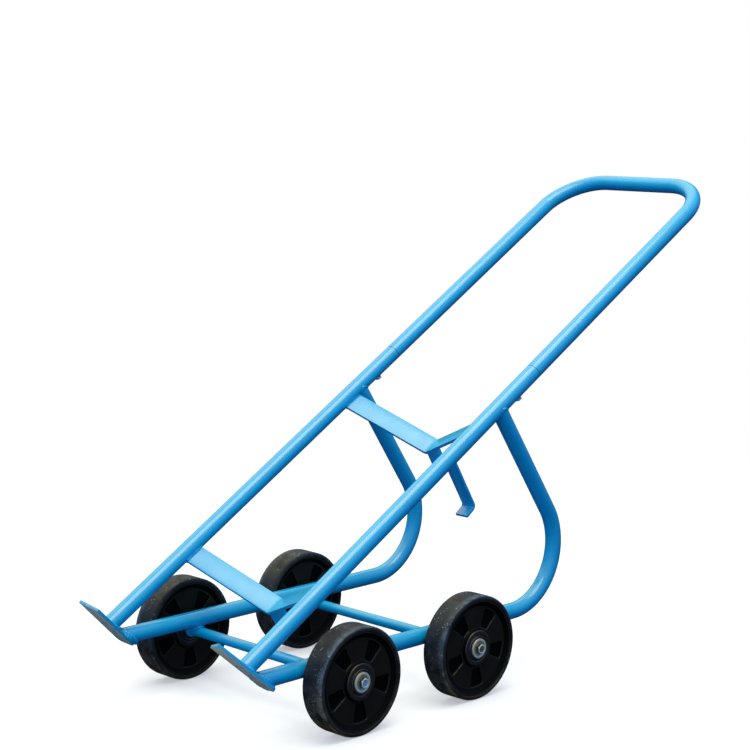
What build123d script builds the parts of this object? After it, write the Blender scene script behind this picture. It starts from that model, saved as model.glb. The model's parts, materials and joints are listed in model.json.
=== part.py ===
from build123d import *
from math import cos, radians, sin, tan
import os

# A four-wheeled drum truck: two slanted rails with a bolted-on handle bow, a pair of
# support loops, toe plates under the rails and four solid wheels on two fixed axles.
# +X points from the toe plates back to the handle, +Y to the pusher's right, +Z up.
# The origin lies on the floor under the middle of the truck's bounding box.

# Driving dimensions, in millimetres and degrees

# Wheels and axles
wheel_diameter = 200
wheel_width = 50
wheel_base = 305
wheel_gap = 4.5
axle_diameter = 20
collar_diameter = 28

# Rails: stations along a rail count from where its axis crosses the height of the axles
tube_diameter = 32
tube_wall = 2.5
rail_spacing = 386
rail_pitch = 30.7
rail_lead = 302
rail_foot = 108
handle_joint = 969
grip_station = 1630
handle_bend = 105
sleeve_wall = 4
sleeve_reach = 85
sleeve_clearance = 0.1
screw_setback = 62
screw_diameter = 8
screw_head_height = 5.5
screw_head_width = 13
screw_length = 9

# Support loops
strut_station = 852
strut_lean = 33.9
loop_bend = 121

# Toe plates
toe_pitch = 42.3
toe_turn = 10
toe_width = 40
toe_thickness = 6
toe_front = 77
toe_back = 67
toe_skew = 13
toe_inset = 1
toe_corner = 12

# Cross bars, gussets and hook
lower_bar_station = 326
upper_bar_station = 815
bar_width = 43
bar_thickness = 6
bar_drop = 96
bar_slope = 26
bar_bend = 8
gusset_width = 32
gusset_setback = 5.5
gusset_height = 60
gusset_thickness = 5
gusset_corner = 12
hook_width = 32
hook_thickness = 6
hook_offset = 10
hook_overlap = 28
hook_length = 133
hook_toe = 29
hook_toe_tilt = 5
hook_bend = 6

# Wheel bodies and bearings
tyre_depth = 8.5
tyre_shoulder = 5
rim_inset = 2
rim_wall = 3.5
rim_slope = 8
web_recess = 8
web_fillet = 3
hub_diameter = 68
hub_inset = 0.5
hub_draft = 1.5
hub_round = 2
pocket_count = 5
pocket_angle = 27
pocket_phase = 57
pocket_depth = 4
pocket_margin = 4
pocket_corner = 4
bearing_diameter = 47
bearing_width = 14
bearing_shoulder = 3.5
seat_chamfer = 2
ring_wall = 3.8
ball_count = 8
ball_diameter = 7.94
cage_wall = 1.7
cage_width = 10
seal_thickness = 1
seal_inset = 0.5
spacer_diameter = 26
washer_diameter = 37
washer_thickness = 3
bolt_diameter = 10
bolt_head_width = 17
bolt_head_height = 6.4
bolt_length = 30
bolt_hole_depth = 36

# Clearances
weld_gap = 0.05
running_gap = 0.05
ball_gap = 0.15
thread_gap = 0.05
hole_gap = 0.4

# Derived sizes
axle_height = wheel_diameter / 2
axle_radius = axle_diameter / 2
tube_radius = tube_diameter / 2
tube_bore = tube_radius - tube_wall
rail_y = rail_spacing / 2
wheel_y = rail_y + tube_radius + wheel_gap + wheel_width / 2
rail_axis = Vector(cos(radians(rail_pitch)), 0, sin(radians(rail_pitch)))
rail_drop = Vector(sin(radians(rail_pitch)), 0, -cos(radians(rail_pitch)))
toe_down = Vector(cos(radians(toe_pitch)), 0, -sin(radians(toe_pitch)))
toe_up = Vector(sin(radians(toe_pitch)), 0, cos(radians(toe_pitch)))
screw_station = handle_joint - screw_setback
run_height = axle_height + axle_radius + tube_radius + weld_gap
sides = (("right", 1), ("left", -1))

# The box's ends, measured from the front axle, place the origin at mid length
toe_reach = toe_front + toe_skew / 2
toe_outer = toe_width / 2 - toe_inset
toe_inner = toe_width / 2 + toe_inset
toe_ahead = toe_reach * cos(radians(toe_turn)) + toe_outer * sin(radians(toe_turn))
toe_tip = rail_foot * rail_axis.X - rail_lead - toe_ahead * toe_down.X - toe_thickness * toe_up.X
grip_back = grip_station * rail_axis.X - rail_lead + tube_radius
front_axle_x = -(toe_tip + grip_back) / 2
rear_axle_x = front_axle_x + wheel_base
axles = (("front", front_axle_x), ("rear", rear_axle_x))


def rail_point(station, y=0, drop=0):
    """A point at a station along the rails, y to the side and drop below their axes."""
    crossing = Vector(front_axle_x - rail_lead, y, axle_height)
    return crossing + rail_axis * station + rail_drop * drop


def rail_section(station, y=0):
    """The plane square to the rails at a station: local x runs along +Y, local y up."""
    return Plane(rail_point(station, y), x_dir=(0, 1, 0), z_dir=rail_axis)


def toe_face(side):
    """The upper face of a toe plate, with local x running down along the turned plate."""
    turn = radians(toe_turn) * side
    along = toe_down * cos(turn) + Vector(0, sin(turn), 0)
    return Plane(rail_point(rail_foot, side * rail_y), x_dir=along, z_dir=toe_up)


def save(builder, name):
    """Label a finished piece and write its file."""
    builder.part.label = name
    export_step(builder.part, f"parts/{name}.step")


os.makedirs("parts", exist_ok=True)

# The middle plane of the truck: local x runs along the rails, local y up from them
middle = Plane(rail_point(0), x_dir=rail_axis, z_dir=(0, -1, 0))

# Rails: straight tubes that stand on the toe plates and take the handle at their upper ends
for side_name, side in sides:
    with BuildPart() as rail:
        with BuildSketch(rail_section(0, side * rail_y)):
            Circle(tube_radius)
            Circle(tube_bore, mode=Mode.SUBTRACT)
        extrude(amount=handle_joint)
        split(bisect_by=toe_face(side), keep=Keep.TOP)
        with BuildSketch(Plane(rail_point(screw_station, side * rail_y), z_dir=rail_drop)):
            Circle(screw_diameter / 2 + hole_gap)
        extrude(amount=tube_diameter, mode=Mode.SUBTRACT)
    save(rail, f"{side_name}_rail")

# Handle: one tube bent to a U in the plane of the rails, butted on their upper ends
with BuildPart() as handle_bow:
    with BuildLine() as bow_path:
        FilletPolyline(
            rail_point(handle_joint, rail_y),
            rail_point(grip_station, rail_y),
            rail_point(grip_station, -rail_y),
            rail_point(handle_joint, -rail_y),
            radius=handle_bend,
        )
    with BuildSketch(rail_section(handle_joint, rail_y)):
        Circle(tube_radius)
        Circle(tube_bore, mode=Mode.SUBTRACT)
    sweep(path=bow_path.line)
save(handle_bow, "handle_bow")

# Sleeves: thick tubes inside the joints, tapped for the screws that hold the handle on
sleeve_radius = tube_bore - sleeve_clearance
for side_name, side in sides:
    with BuildPart() as sleeve:
        with BuildSketch(rail_section(handle_joint, side * rail_y)):
            Circle(sleeve_radius)
            Circle(sleeve_radius - sleeve_wall, mode=Mode.SUBTRACT)
        extrude(amount=sleeve_reach, both=True)
        with BuildSketch(Plane(rail_point(screw_station, side * rail_y), z_dir=rail_drop)):
            Circle(screw_diameter / 2 + thread_gap)
        extrude(amount=tube_diameter, mode=Mode.SUBTRACT)
    save(sleeve, f"{side_name}_handle_sleeve")

# Screws: hexagon heads under the rails, threaded into the sleeves
with BuildPart() as handle_screws:
    for side_name, side in sides:
        seat = Plane(rail_point(screw_station, side * rail_y, tube_radius), z_dir=rail_drop)
        with BuildSketch(seat):
            RegularPolygon(screw_head_width / 2, 6, major_radius=False)
        extrude(amount=screw_head_height)
        with BuildSketch(seat):
            Circle(screw_diameter / 2)
        extrude(amount=-screw_length)
save(handle_screws, "handle_screws")

# Support loops: a strut coped to the rail, one wide bend and a level run down to the toe plate
run_toe = rail_point(rail_foot).X - tube_diameter
strut_top = rail_point(strut_station)
strut_fall = strut_top.Z - run_height
loop_corner = (strut_top.X + strut_fall * tan(radians(strut_lean)), run_height)
for side_name, side in sides:
    with BuildPart() as support_loop:
        with BuildLine(Plane((0, side * rail_y, 0), x_dir=(1, 0, 0), z_dir=(0, -1, 0))) as loop_path:
            FilletPolyline((strut_top.X, strut_top.Z), loop_corner, (run_toe, run_height), radius=loop_bend)
        with BuildSketch(Plane(loop_path.line @ 0, z_dir=loop_path.line % 0)):
            Circle(tube_radius)
            Circle(tube_bore, mode=Mode.SUBTRACT)
        sweep(path=loop_path.line)
        with BuildSketch(rail_section(rail_foot, side * rail_y)):
            Circle(tube_radius + weld_gap)
        extrude(amount=handle_joint, mode=Mode.SUBTRACT)
        split(bisect_by=toe_face(side), keep=Keep.TOP)
    save(support_loop, f"{side_name}_support_loop")

# Toe plates: flat bars turned a little inwards, with a slanted front edge and a rounded tail
for side_name, side in sides:
    with BuildPart() as toe_plate:
        with BuildSketch(toe_face(side)) as outline:
            with BuildLine():
                Polyline(
                    (toe_skew / 2 - toe_front, -side * toe_inner),
                    (-toe_reach, side * toe_outer),
                    (toe_back, side * toe_outer),
                    (toe_back, -side * toe_inner),
                    close=True,
                )
            make_face()
            fillet(outline.vertices().group_by(Axis.X)[-1], toe_corner)
        extrude(amount=-toe_thickness)
    save(toe_plate, f"{side_name}_toe_plate")

# Cross bars: flat bars folded to a V that hangs between the rails, clear of the drum
bar_stations = (("lower", lower_bar_station), ("upper", upper_bar_station))
bar_rise = rail_y * tan(radians(bar_slope))
bar_depth = bar_thickness / cos(radians(bar_slope))
for bar_name, station in bar_stations:
    with BuildPart() as cross_bar:
        with BuildSketch(rail_section(station - bar_width / 2)) as section:
            with BuildLine():
                Polyline(
                    (-rail_y, bar_rise - bar_drop),
                    (0, -bar_drop),
                    (rail_y, bar_rise - bar_drop),
                    (rail_y, bar_rise - bar_drop - bar_depth),
                    (0, -bar_drop - bar_depth),
                    (-rail_y, bar_rise - bar_drop - bar_depth),
                    close=True,
                )
            make_face()
            fold = section.vertices().group_by(Axis.X)[1].sort_by(Axis.Y)
            fillet(fold[0], bar_bend + bar_thickness)
            fillet(section.vertices().sort_by_distance((0, -bar_drop))[0], bar_bend)
            with Locations((-rail_y, 0), (rail_y, 0)):
                Circle(tube_radius + weld_gap, mode=Mode.SUBTRACT)
        extrude(amount=bar_width)
    save(cross_bar, f"{bar_name}_cross_bar")

# Gussets: small plates on edge under the folds of the cross bars
fold_lift = (bar_bend + bar_thickness) * (1 / cos(radians(bar_slope)) - 1)
gusset_top = bar_drop + bar_depth - fold_lift
heel_lead = bar_width / 2 - gusset_setback
for bar_name, station in bar_stations:
    heel = station + heel_lead
    with BuildPart() as gusset:
        with BuildSketch(middle) as outline:
            with BuildLine():
                Polyline(
                    (heel - gusset_width, -gusset_top),
                    (heel, -gusset_top),
                    (heel, -gusset_top - gusset_height),
                    (heel - gusset_width, -gusset_top - gusset_height),
                    close=True,
                )
            make_face()
            fillet(outline.vertices().group_by(Axis.Y)[0].sort_by(Axis.X)[0], gusset_corner)
        extrude(amount=gusset_thickness / 2, both=True)
    save(gusset, f"{bar_name}_gusset")

# Hook: a flat bar on the heel of the upper gusset, a little to the left of the middle, with its
# end bent towards the toe plates
hook_line = upper_bar_station + heel_lead + hook_thickness / 2
hook_start = gusset_top + gusset_height - hook_overlap
hook_knee = hook_start + hook_length
hook_tip_drop = hook_knee + hook_toe * sin(radians(hook_toe_tilt))
hook_tip_station = hook_line - hook_toe * cos(radians(hook_toe_tilt))
with BuildPart() as hook:
    with BuildSketch(middle.offset(hook_offset)):
        with BuildLine():
            FilletPolyline(
                (hook_line, -hook_start),
                (hook_line, -hook_knee),
                (hook_tip_station, -hook_tip_drop),
                radius=hook_bend + hook_thickness / 2,
            )
        trace(line_width=hook_thickness)
    extrude(amount=hook_width / 2, both=True)
save(hook, "strap_hook")

# Axles: round bars under the support loops, tapped at both ends for the wheel bolts
hub_half = wheel_width / 2 - hub_inset
axle_half = wheel_y + hub_half - hub_inset
for axle_name, axle_x in axles:
    with BuildPart() as axle:
        with BuildSketch(Plane((axle_x, 0, axle_height), x_dir=(1, 0, 0), z_dir=(0, 1, 0))):
            Circle(axle_radius)
        extrude(amount=axle_half, both=True)
        for end in axle.faces().filter_by(Axis.Y):
            with BuildSketch(Plane(end)):
                Circle(bolt_diameter / 2 + thread_gap)
            extrude(amount=-bolt_hole_depth, mode=Mode.SUBTRACT)
    save(axle, f"{axle_name}_axle")


def wheel_places():
    """Yield each wheel's name, its middle and the side of the truck that it is on."""
    for axle_name, axle_x in axles:
        for side_name, side in sides:
            centre = Vector(axle_x, side * wheel_y, axle_height)
            yield f"{axle_name}_{side_name}", centre, side


def side_plane(centre, side, offset):
    """A plane square to an axle, offset from the wheel's middle towards the given side."""
    return Plane(centre + Vector(0, side * offset, 0), x_dir=(1, 0, 0), z_dir=(0, side, 0))


def ring(centre, side, start, length, outer, bore):
    """Add a ring about the axle, from start to start plus length off the wheel's middle."""
    with BuildSketch(side_plane(centre, side, start)) as section:
        Circle(outer)
        Circle(bore, mode=Mode.SUBTRACT)
    extrude(section.sketch, amount=length)


# Collars: rings on the axles that keep the wheels off the support loops
collar_length = wheel_gap + hub_inset
with BuildPart() as axle_collars:
    for wheel_name, centre, side in wheel_places():
        start = -hub_half - collar_length
        ring(centre, side, start, collar_length, collar_diameter / 2, axle_radius + weld_gap)
save(axle_collars, "axle_collars")

# Bearings: 20 by 47 by 14 mm, one at each end of a hub, with a row of balls between grooved rings
seat_radius = bearing_diameter / 2
inner_race = axle_radius + ring_wall
outer_race = seat_radius - ring_wall
pitch_radius = (inner_race + outer_race) / 2
ball_radius = ball_diameter / 2
bearing_starts = (-hub_half, hub_half - bearing_width)


def groove(centre, side, start):
    """Cut the groove for a bearing's balls into the ring that is being built."""
    with Locations(side_plane(centre, side, start + bearing_width / 2)):
        Torus(pitch_radius, ball_radius + ball_gap, mode=Mode.SUBTRACT)


# Bearing inner rings and the spacers between them, clamped on the axles
with BuildPart() as inner_rings:
    for wheel_name, centre, side in wheel_places():
        for start in bearing_starts:
            ring(centre, side, start, bearing_width, inner_race, axle_radius + weld_gap)
            groove(centre, side, start)
save(inner_rings, "bearing_inner_rings")

spacer_half = hub_half - bearing_width
with BuildPart() as bearing_spacers:
    for wheel_name, centre, side in wheel_places():
        ring(centre, side, -spacer_half, 2 * spacer_half, spacer_diameter / 2, axle_radius + weld_gap)
save(bearing_spacers, "bearing_spacers")

# Washers and bolts: they close the wheels on the ends of the axles
with BuildPart() as wheel_washers:
    for wheel_name, centre, side in wheel_places():
        ring(centre, side, hub_half, washer_thickness, washer_diameter / 2, bolt_diameter / 2 + hole_gap)
save(wheel_washers, "wheel_washers")

with BuildPart() as wheel_bolts:
    for wheel_name, centre, side in wheel_places():
        seat = side_plane(centre, side, hub_half + washer_thickness)
        with BuildSketch(seat):
            RegularPolygon(bolt_head_width / 2, 6, major_radius=False)
        extrude(amount=bolt_head_height)
        with BuildSketch(seat):
            Circle(bolt_diameter / 2)
        extrude(amount=-bolt_length)
save(wheel_bolts, "wheel_bolts")

# Wheels: a solid tyre on a moulded centre with pockets in both faces, on two sealed ball bearings
tyre_half = wheel_width / 2
rim_radius = wheel_diameter / 2 - tyre_depth
rim_half = tyre_half - rim_inset
web_half = tyre_half - web_recess
web_radius = rim_radius - rim_wall - rim_slope
hub_radius = hub_diameter / 2
hub_foot = hub_radius + hub_draft
pocket_edge = Vector(wheel_diameter, wheel_diameter * tan(radians(pocket_angle / 2)))
for wheel_name, centre, side in wheel_places():
    axis = Axis(centre, (0, 1, 0))
    profile_plane = Plane(centre, x_dir=(1, 0, 0), z_dir=(0, 0, 1))

    with BuildPart() as tyre:
        with BuildSketch(profile_plane) as section:
            with Locations((rim_radius + weld_gap, 0)):
                Rectangle(tyre_depth - weld_gap, wheel_width, align=(Align.MIN, Align.CENTER))
            fillet(section.vertices().group_by(Axis.X)[-1], tyre_shoulder)
        revolve(axis=axis)
    save(tyre, f"{wheel_name}_tyre")

    with BuildPart() as wheel_centre:
        with BuildSketch(profile_plane) as section:
            with BuildLine():
                Polyline(
                    (seat_radius - bearing_shoulder, 0),
                    (seat_radius - bearing_shoulder, spacer_half),
                    (seat_radius + weld_gap, spacer_half),
                    (seat_radius + weld_gap, hub_half),
                    (hub_radius, hub_half),
                    (hub_foot, web_half),
                    (web_radius, web_half),
                    (web_radius + rim_slope, rim_half),
                    (rim_radius, rim_half),
                    (rim_radius, 0),
                    close=True,
                )
            make_face()
            for corner in ((hub_foot, web_half), (web_radius, web_half)):
                fillet(section.vertices().sort_by_distance(corner)[0], web_fillet)
            fillet(section.vertices().sort_by_distance((hub_radius, hub_half))[0], hub_round)
            chamfer(section.vertices().sort_by_distance((seat_radius, hub_half))[0], seat_chamfer)
            mirror(about=Plane.XZ)
        revolve(axis=axis)
        for face_side in (1, -1):
            with BuildSketch(side_plane(centre, face_side, web_half)) as pockets:
                with PolarLocations(0, pocket_count, start_angle=-face_side * pocket_phase):
                    Polygon((0, 0), pocket_edge, (pocket_edge.X, -pocket_edge.Y), align=None)
                Circle(web_radius - pocket_margin, mode=Mode.INTERSECT)
                Circle(hub_foot + pocket_margin, mode=Mode.SUBTRACT)
                fillet(pockets.vertices(), pocket_corner)
            extrude(amount=-pocket_depth, mode=Mode.SUBTRACT)
    save(wheel_centre, f"{wheel_name}_wheel_centre")

    with BuildPart() as outer_rings:
        for start in bearing_starts:
            ring(centre, side, start, bearing_width, seat_radius, outer_race)
            groove(centre, side, start)
    save(outer_rings, f"{wheel_name}_outer_rings")

    with BuildPart() as balls:
        for start in bearing_starts:
            with Locations(side_plane(centre, side, start + bearing_width / 2)):
                with PolarLocations(pitch_radius, ball_count):
                    Sphere(ball_radius)
    save(balls, f"{wheel_name}_bearing_balls")

    with BuildPart() as cages:
        for start in bearing_starts:
            cage_start = start + (bearing_width - cage_width) / 2
            ring(centre, side, cage_start, cage_width, pitch_radius + cage_wall / 2, pitch_radius - cage_wall / 2)
            with Locations(side_plane(centre, side, start + bearing_width / 2)):
                with PolarLocations(pitch_radius, ball_count):
                    Cylinder(ball_radius + ball_gap, ball_diameter, rotation=(0, 90, 0), mode=Mode.SUBTRACT)
    save(cages, f"{wheel_name}_bearing_cages")

    with BuildPart() as seals:
        for start in bearing_starts:
            for inset in (seal_inset, bearing_width - seal_inset - seal_thickness):
                ring(centre, side, start + inset, seal_thickness, outer_race - weld_gap, inner_race + running_gap)
    save(seals, f"{wheel_name}_bearing_seals")
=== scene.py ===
import json
import math

import bmesh
import bpy
from mathutils import Matrix, Vector


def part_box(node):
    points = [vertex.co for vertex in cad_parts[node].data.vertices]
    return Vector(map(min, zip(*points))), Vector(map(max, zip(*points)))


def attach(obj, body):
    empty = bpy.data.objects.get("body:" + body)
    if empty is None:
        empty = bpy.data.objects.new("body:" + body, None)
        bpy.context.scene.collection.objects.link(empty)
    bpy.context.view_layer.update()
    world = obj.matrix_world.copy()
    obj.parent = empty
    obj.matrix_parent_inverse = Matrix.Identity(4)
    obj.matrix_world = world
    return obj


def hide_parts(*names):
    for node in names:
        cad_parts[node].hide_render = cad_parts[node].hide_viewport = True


# Everything is in metres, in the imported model's frame: +X to the handle, +Y to the pusher's right, +Z up.
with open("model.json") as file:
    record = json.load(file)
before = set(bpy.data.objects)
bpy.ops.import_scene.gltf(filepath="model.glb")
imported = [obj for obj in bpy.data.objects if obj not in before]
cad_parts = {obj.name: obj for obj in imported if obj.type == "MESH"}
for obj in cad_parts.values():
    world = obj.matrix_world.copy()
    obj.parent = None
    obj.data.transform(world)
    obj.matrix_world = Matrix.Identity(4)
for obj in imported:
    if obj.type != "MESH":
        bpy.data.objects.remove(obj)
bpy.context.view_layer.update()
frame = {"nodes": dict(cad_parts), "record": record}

# Rails. Two straight lengths of 32 mm welded steel tube that carry the drum, sprayed sky blue
# after welding. Each stands on a toe plate and takes the handle at its upper end, where a
# fine open seam shows under the paint.
sides = {"right": 1, "left": -1}
across = Vector((0, 1, 0))
rail_slope = math.radians(30.7)
rail_line = Vector((math.cos(rail_slope), 0, math.sin(rail_slope)))
rail_below = Vector((math.sin(rail_slope), 0, -math.cos(rail_slope)))
rail_low, rail_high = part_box("right_rail")
tube_radius = (rail_high.y - rail_low.y) / 2
rail_y = (rail_high.y + rail_low.y) / 2
tube_sides = 48
spare_length = 1.0
merge_gap = 0.000001
sharp_angle = 40
seam_half = 0.0005
seam_depth = 0.0008
seam_size = 1 - seam_depth / tube_radius
seam_middle = Vector((rail_high.x - tube_radius * math.sin(rail_slope), 0,
                      rail_high.z - tube_radius * math.cos(rail_slope)))
mounts = {mount["name"]: mount for mount in frame["record"]["mounts"]}
toe_mount = mounts["right_toe_face"]
toe_up = -Vector(toe_mount["axis"]).normalized()
toe_thickness = 0.006
toe_top = Vector(toe_mount["pos_m"]) + toe_up * toe_thickness


def linear(hex_colour):
    """An sRGB hex colour as linear red, green, blue and alpha."""
    parts = [int(hex_colour[i:i + 2], 16) / 255 for i in (1, 3, 5)]
    return [c / 12.92 if c <= 0.04045 else ((c + 0.055) / 1.055) ** 2.4 for c in parts] + [1.0]


def fill_inputs(tree, node, inputs):
    """Fill a node's inputs, by name or in order, with values, hex colours, sockets or nodes' results."""
    if isinstance(inputs, dict):
        pairs = [(node.inputs[name], value) for name, value in inputs.items()]
    else:
        pairs = zip([socket for socket in node.inputs if socket.enabled], inputs)
    for socket, value in pairs:
        if isinstance(value, bpy.types.Node):
            value = next(output for output in value.outputs if output.enabled)
        if isinstance(value, bpy.types.NodeSocket):
            tree.links.new(value, socket)
        elif isinstance(value, str):
            socket.default_value = linear(value)
        else:
            socket.default_value = value


def add_node(tree, kind, inputs, **settings):
    """Add a shader node of a kind, with its settings, values and links."""
    made = tree.nodes.new("ShaderNode" + kind)
    for name, value in settings.items():
        setattr(made, name, value)
    fill_inputs(tree, made, inputs)
    return made


def start_material(name):
    """A new material, its node tree, its shader and its object coordinates."""
    material = bpy.data.materials.new(name)
    material.use_nodes = True
    tree = material.node_tree
    place = add_node(tree, "TexCoord", {}).outputs["Object"]
    return material, tree, tree.nodes["Principled BSDF"], place


def of_kind(items, kind):
    """The vertices or the edges among the items that an operator made."""
    return [item for item in items if isinstance(item, kind)]


def edges_at(verts):
    """The edges that meet at some vertices, each once."""
    return list(dict.fromkeys(edge for vert in verts for edge in vert.link_edges))


def pointed(place, along, axis="Z"):
    """The matrix that takes a shape to a place and turns its axis along a line."""
    return Matrix.Translation(place) @ along.to_track_quat(axis, "Y").to_matrix().to_4x4()


def ring_on(bm, radius, centre, along):
    """Start a tube with an open ring of edges square to its line."""
    made = bmesh.ops.create_circle(bm, segments=tube_sides, radius=radius, matrix=pointed(centre, along))
    return edges_at(made["verts"])


def carry_on(bm, edges, step, size=1.0):
    """Draw the open end of a tube or bar straight on by a step, and resize its end ring."""
    made = bmesh.ops.extrude_edge_only(bm, edges=edges)
    verts = of_kind(made["geom"], bmesh.types.BMVert)
    bmesh.ops.translate(bm, vec=step, verts=verts)
    middle = sum((vert.co for vert in verts), Vector()) / len(verts)
    bmesh.ops.scale(bm, vec=(size, size, size), space=Matrix.Translation(-middle), verts=verts)
    fresh = set(verts)
    return [edge for edge in of_kind(made["geom"], bmesh.types.BMEdge) if fresh.issuperset(edge.verts)]


def close_ends(bm):
    """Close the open ends of a tube or bar."""
    bmesh.ops.holes_fill(bm, edges=bm.edges[:], sides=0)


def end_on_toe(bm):
    """Cut a tube off on the upper faces of the toe plates, and close its ends."""
    everything = bm.verts[:] + bm.edges[:] + bm.faces[:]
    bmesh.ops.bisect_plane(bm, geom=everything, plane_co=toe_top, plane_no=toe_up, clear_inner=True)
    close_ends(bm)


def set_on_truck(bm, name, nodes, finishes, body="frame", sharp=sharp_angle):
    """Make the mesh an object with smooth faces between its sharp edges, and fit it to its body."""
    bmesh.ops.remove_doubles(bm, verts=bm.verts, dist=merge_gap)
    bmesh.ops.recalc_face_normals(bm, faces=bm.faces)
    mesh = bpy.data.meshes.new(name)
    bm.to_mesh(mesh)
    bm.free()
    mesh.shade_smooth()
    mesh.set_sharp_from_angle(angle=math.radians(sharp))
    for finish in finishes:
        mesh.materials.append(finish)
    piece = bpy.data.objects.new(name, mesh)
    bpy.context.scene.collection.objects.link(piece)
    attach(piece, body)
    if nodes:
        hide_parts(*nodes)


# Sprayed enamel on steel: an even sky blue with slow changes of tone, a little orange peel,
# a gloss that drifts with the thickness of the coat, and chips along the sharpest edges.
# The peel is drawn coarser than real orange peel, which is too fine to show.
tone_patch = 0.070
peel_size = 0.009
run_size = 0.026
chip_size = 0.006
sky_blue_enamel, tree, shader, place = start_material("sky_blue_enamel")
patches = add_node(tree, "TexNoise", {"Vector": place, "Scale": 1 / tone_patch, "Detail": 3.0})
coat = add_node(tree, "Mix", [patches, "#0094CF", "#02A1DB"], data_type="RGBA")
peel = add_node(tree, "TexNoise", {"Vector": place, "Scale": 1 / peel_size, "Detail": 0.0})
runs = add_node(tree, "TexNoise", {"Vector": place, "Scale": 1 / run_size, "Detail": 0.0})
lumps = add_node(tree, "Math", [runs, 3.0, peel], operation="MULTIPLY_ADD")
relief = add_node(tree, "Bump", {"Height": lumps, "Strength": 0.03, "Distance": 0.0006})
ridge = add_node(tree, "NewGeometry", {}).outputs["Pointiness"]
grit = add_node(tree, "TexNoise", {"Vector": place, "Scale": 1 / chip_size, "Detail": 4.0})
wear = add_node(tree, "Math", [grit, 0.5, ridge], operation="MULTIPLY_ADD")
chips = add_node(tree, "MapRange", [wear, 0.955, 0.975, 0.0, 1.0])
chipped = add_node(tree, "Mix", [chips, coat, "#6E6A63"], data_type="RGBA")
sheen = add_node(tree, "MapRange", [runs, 0.3, 0.7, 0.21, 0.27])
dull = add_node(tree, "Mix", [chips, sheen, 0.62])
fill_inputs(tree, shader, {"Base Color": chipped, "Roughness": dull, "Normal": relief, "IOR": 1.68})

# Grime in the open seam: paint that never reached the gap, with dirt in it, dull and almost black.
grime_size = 0.004
seam_grime, tree, shader, place = start_material("grime_in_open_seam")
dirt = add_node(tree, "TexNoise", {"Vector": place, "Scale": 1 / grime_size, "Detail": 3.0})
gap_tone = add_node(tree, "Mix", [dirt, "#06304F", "#1B1A18"], data_type="RGBA")
fill_inputs(tree, shader, {"Base Color": gap_tone, "Roughness": 0.85})

tube_finishes = [sky_blue_enamel, seam_grime]
for side_name, side in sides.items():
    rail = bmesh.new()
    seam = seam_middle + across * (side * rail_y)
    edges = ring_on(rail, tube_radius * seam_size, seam, -rail_line)
    edges = carry_on(rail, edges, -rail_line * seam_half, 1 / seam_size)
    edges = carry_on(rail, edges, -rail_line * tube_radius)
    carry_on(rail, edges, -rail_line * spare_length)
    end_on_toe(rail)
    for face in rail.faces:
        if (face.calc_center_median() - seam).dot(rail_line) > -seam_half:
            face.material_index = tube_finishes.index(seam_grime)
    set_on_truck(rail, f"{side_name}_rail_tube", [f"{side_name}_rail"], tube_finishes)

# Toe plates. Pieces of 40 by 6 mm flat bar, sawn off at a slant in front and rounded at the
# back, welded under the tubes. Their undersides are scraped along floors to dull steel.
toe_turn = math.radians(10)
toe_down = Vector((toe_up.z, 0, -toe_up.x))
toe_half_width = 0.020
toe_half_length = 0.072
toe_skew = 0.0065
toe_corner = 0.012
corner_steps = 8
plate_edge = 0.0008
facing = 0.9
# The scratches are drawn wider than real ones, which are too fine to show.
scratch_length = 0.016
scratch_width = 0.0011
island_size = 0.018


def make_scraped(name, bare, covered):
    """Painted steel scraped along floors: fine scratches, and paint left where a noise passes two limits."""
    material, tree, shader, place = start_material(name)
    along_scratch = (1 / scratch_length, 1 / scratch_width, 1 / scratch_length)
    grain = add_node(tree, "Mapping", {"Vector": place, "Scale": along_scratch})
    scratches = add_node(tree, "TexNoise", {"Vector": grain, "Scale": 1.0, "Detail": 5.0})
    islands = add_node(tree, "TexNoise", {"Vector": place, "Scale": 1 / island_size, "Detail": 5.0})
    rubbed = add_node(tree, "Mix", [scratches, "#B0B4A6", "#D6DACC"], data_type="RGBA")
    painted = add_node(tree, "MapRange", [islands, bare, covered, 0.0, 0.85])
    mixed = add_node(tree, "Mix", [painted, rubbed, "#1E8FC4"], data_type="RGBA")
    relief = add_node(tree, "Bump", {"Height": scratches, "Strength": 0.3, "Distance": 0.0004})
    fill_inputs(tree, shader, {"Base Color": mixed, "Normal": relief, "Metallic": 0.15, "Roughness": 0.55})
    return material


# Scraped underside: dull grey steel with a few islands of paint. Knocked front end: dulled paint
# with a little steel showing through.
scraped_steel = make_scraped("scraped_painted_steel", bare=0.70, covered=0.80)
knocked_paint = make_scraped("knocked_paint", bare=0.26, covered=0.46)


def flat_plate(bm, corners, thickness):
    """A plate from its outline: the outline's face drawn down by a thickness."""
    face = bm.faces.new([bm.verts.new(corner) for corner in corners])
    bm.normal_update()
    made = bmesh.ops.extrude_face_region(bm, geom=[face], use_keep_orig=True)
    bmesh.ops.translate(bm, vec=thickness, verts=of_kind(made["geom"], bmesh.types.BMVert))
    bmesh.ops.recalc_face_normals(bm, faces=bm.faces)


def soften(bm, edges, width, segments=2):
    """Round edges over by a width, and give the new faces."""
    made = bmesh.ops.bevel(bm, geom=edges, offset=width, offset_type="OFFSET", affect="EDGES",
                           segments=segments, profile=0.5, material=-1)
    return made["faces"]


def sharp_edges(bm):
    """The edges between two faces that meet at a sharp angle."""
    shared = [edge for edge in bm.edges if len(edge.link_faces) == 2]
    return [edge for edge in shared if edge.calc_face_angle() > math.radians(sharp_angle)]


def runs_along(edge, line):
    """Whether an edge runs along a line."""
    start, end = edge.verts
    return abs((end.co - start.co).normalized().dot(line)) > facing


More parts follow.
